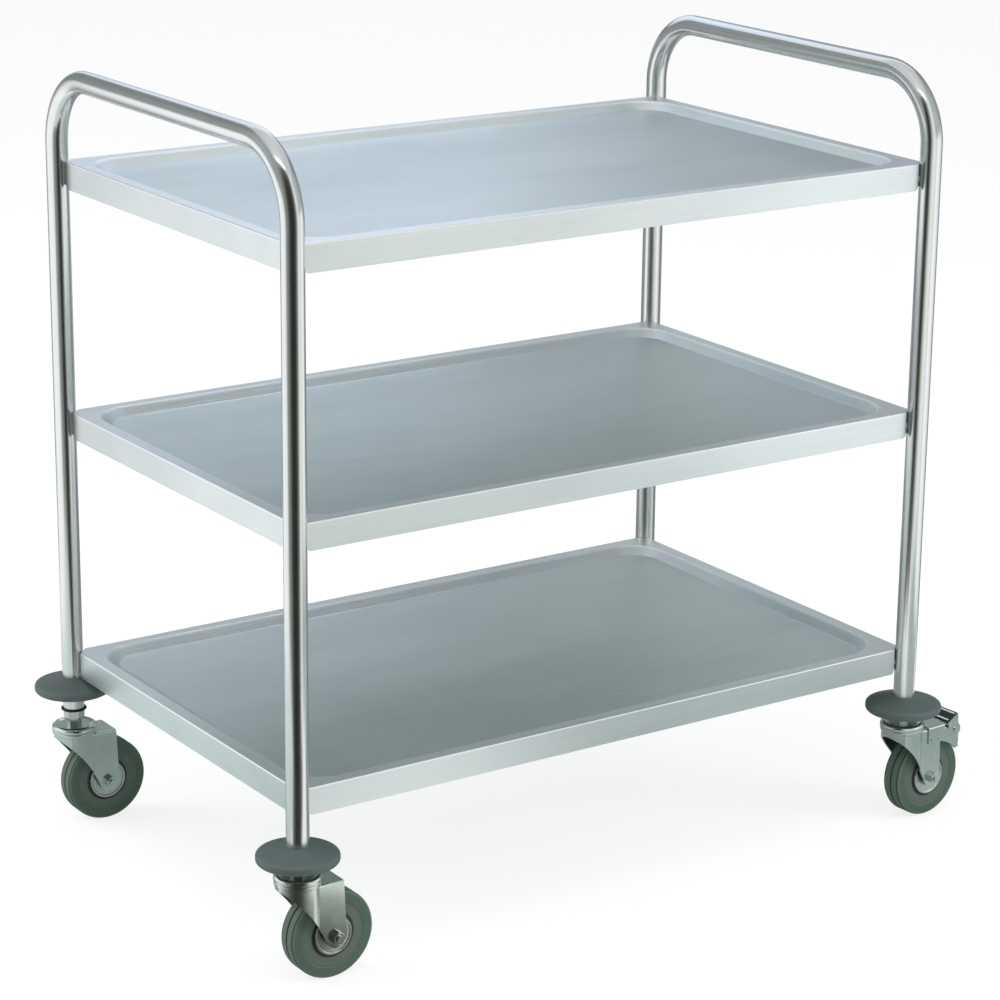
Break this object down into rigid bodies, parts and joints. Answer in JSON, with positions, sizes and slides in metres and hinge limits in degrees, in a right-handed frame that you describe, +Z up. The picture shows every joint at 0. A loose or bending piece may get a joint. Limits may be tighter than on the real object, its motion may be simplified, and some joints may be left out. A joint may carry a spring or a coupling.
{
  "type": "serving trolley",
  "caption": "Three-tier serving trolley with bent tube handles at both ends, dished trays, disc bumpers and swivel castors, two with a wheel brake.",
  "frame": {"origin": "on the floor, at the middle of the trolley's footprint with the castors as they stand", "axes": "+X along the long side, from the plain castors to the braked ones; +Y across the trolley; +Z up"},
  "size_m": [0.9654, 0.61, 0.908],
  "materials": {
    "stainless_tube": "satin polished stainless steel tube",
    "stainless_sheet": "brushed stainless steel sheet",
    "zinc_steel": "bright zinc-plated pressed steel",
    "bumper_rubber": "matte grey soft plastic",
    "tyre_rubber": "non-marking grey rubber",
    "hub_plastic": "dark moulded plastic",
    "seal_rubber": "black rubber"
  },
  "bodies": {
    "frame": {"left_end_frame": "stainless_tube", "right_end_frame": "stainless_tube", "top_tray": "stainless_sheet", "middle_tray": "stainless_sheet", "bottom_tray": "stainless_sheet", "tray_bolts": "zinc_steel", "tray_washers": "zinc_steel", "tray_inserts": "zinc_steel", "leg_sockets": "zinc_steel", "seal_rings": "seal_rubber", "castor_stems": "zinc_steel", "swivel_caps": "zinc_steel", "front_left_bumper": "bumper_rubber", "back_left_bumper": "bumper_rubber", "front_right_bumper": "bumper_rubber", "back_right_bumper": "bumper_rubber"},
    "front_left_swivel": {"front_left_fork": "zinc_steel", "front_left_ball_ring": "zinc_steel", "front_left_axle_bush": "zinc_steel", "front_left_axle_bolt": "zinc_steel", "front_left_axle_nut": "zinc_steel"},
    "front_left_wheel": {"front_left_wheel_hub": "hub_plastic", "front_left_hub_covers": "zinc_steel", "front_left_tyre": "tyre_rubber"},
    "back_left_swivel": {"back_left_fork": "zinc_steel", "back_left_ball_ring": "zinc_steel", "back_left_axle_bush": "zinc_steel", "back_left_axle_bolt": "zinc_steel", "back_left_axle_nut": "zinc_steel"},
    "back_left_wheel": {"back_left_wheel_hub": "hub_plastic", "back_left_hub_covers": "zinc_steel", "back_left_tyre": "tyre_rubber"},
    "front_right_swivel": {"front_right_fork": "zinc_steel", "front_right_ball_ring": "zinc_steel", "front_right_axle_bush": "zinc_steel", "front_right_axle_bolt": "zinc_steel", "front_right_axle_nut": "zinc_steel", "front_right_brake_bracket": "zinc_steel", "front_right_brake_rivets": "zinc_steel", "front_right_brake_pin": "zinc_steel"},
    "front_right_wheel": {"front_right_wheel_hub": "hub_plastic", "front_right_hub_covers": "zinc_steel", "front_right_tyre": "tyre_rubber"},
    "front_right_brake": {"front_right_brake_pedal": "zinc_steel", "front_right_pedal_grip": "seal_rubber"},
    "back_right_swivel": {"back_right_fork": "zinc_steel", "back_right_ball_ring": "zinc_steel", "back_right_axle_bush": "zinc_steel", "back_right_axle_bolt": "zinc_steel", "back_right_axle_nut": "zinc_steel", "back_right_brake_bracket": "zinc_steel", "back_right_brake_rivets": "zinc_steel", "back_right_brake_pin": "zinc_steel"},
    "back_right_wheel": {"back_right_wheel_hub": "hub_plastic", "back_right_hub_covers": "zinc_steel", "back_right_tyre": "tyre_rubber"},
    "back_right_brake": {"back_right_brake_pedal": "zinc_steel", "back_right_pedal_grip": "seal_rubber"}
  },
  "joints": [
    {"name": "front_left_swivel", "type": "hinge", "parent": "frame", "child": "front_left_swivel", "pos_m": [-0.43772, -0.26, 0.125], "axis": [0, 0, 1], "continuous": true},
    {"name": "front_left_roll", "type": "hinge", "parent": "front_left_swivel", "child": "front_left_wheel", "pos_m": [-0.40272, -0.26, 0.05], "axis": [0, 1, 0], "continuous": true},
    {"name": "back_left_swivel", "type": "hinge", "parent": "frame", "child": "back_left_swivel", "pos_m": [-0.43772, 0.26, 0.125], "axis": [0, 0, 1], "continuous": true},
    {"name": "back_left_roll", "type": "hinge", "parent": "back_left_swivel", "child": "back_left_wheel", "pos_m": [-0.40272, 0.26, 0.05], "axis": [0, 1, 0], "continuous": true},
    {"name": "front_right_swivel", "type": "hinge", "parent": "frame", "child": "front_right_swivel", "pos_m": [0.39727, -0.26, 0.125], "axis": [0, 0, 1], "continuous": true},
    {"name": "front_right_roll", "type": "hinge", "parent": "front_right_swivel", "child": "front_right_wheel", "pos_m": [0.43219, -0.25756, 0.05], "axis": [-0.0698, 0.9976, 0], "continuous": true},
    {"name": "front_right_brake", "type": "hinge", "parent": "front_right_swivel", "child": "front_right_brake", "pos_m": [0.46696, -0.25513, 0.10368], "axis": [-0.0698, 0.9976, 0], "range_deg": [0, 12]},
    {"name": "back_right_swivel", "type": "hinge", "parent": "frame", "child": "back_right_swivel", "pos_m": [0.39727, 0.26, 0.125], "axis": [0, 0, 1], "continuous": true},
    {"name": "back_right_roll", "type": "hinge", "parent": "back_right_swivel", "child": "back_right_wheel", "pos_m": [0.43228, 0.26, 0.05], "axis": [0, 1, 0], "continuous": true},
    {"name": "back_right_brake", "type": "hinge", "parent": "back_right_swivel", "child": "back_right_brake", "pos_m": [0.46713, 0.26, 0.10368], "axis": [0, 1, 0], "range_deg": [0, 12]}
  ]
}
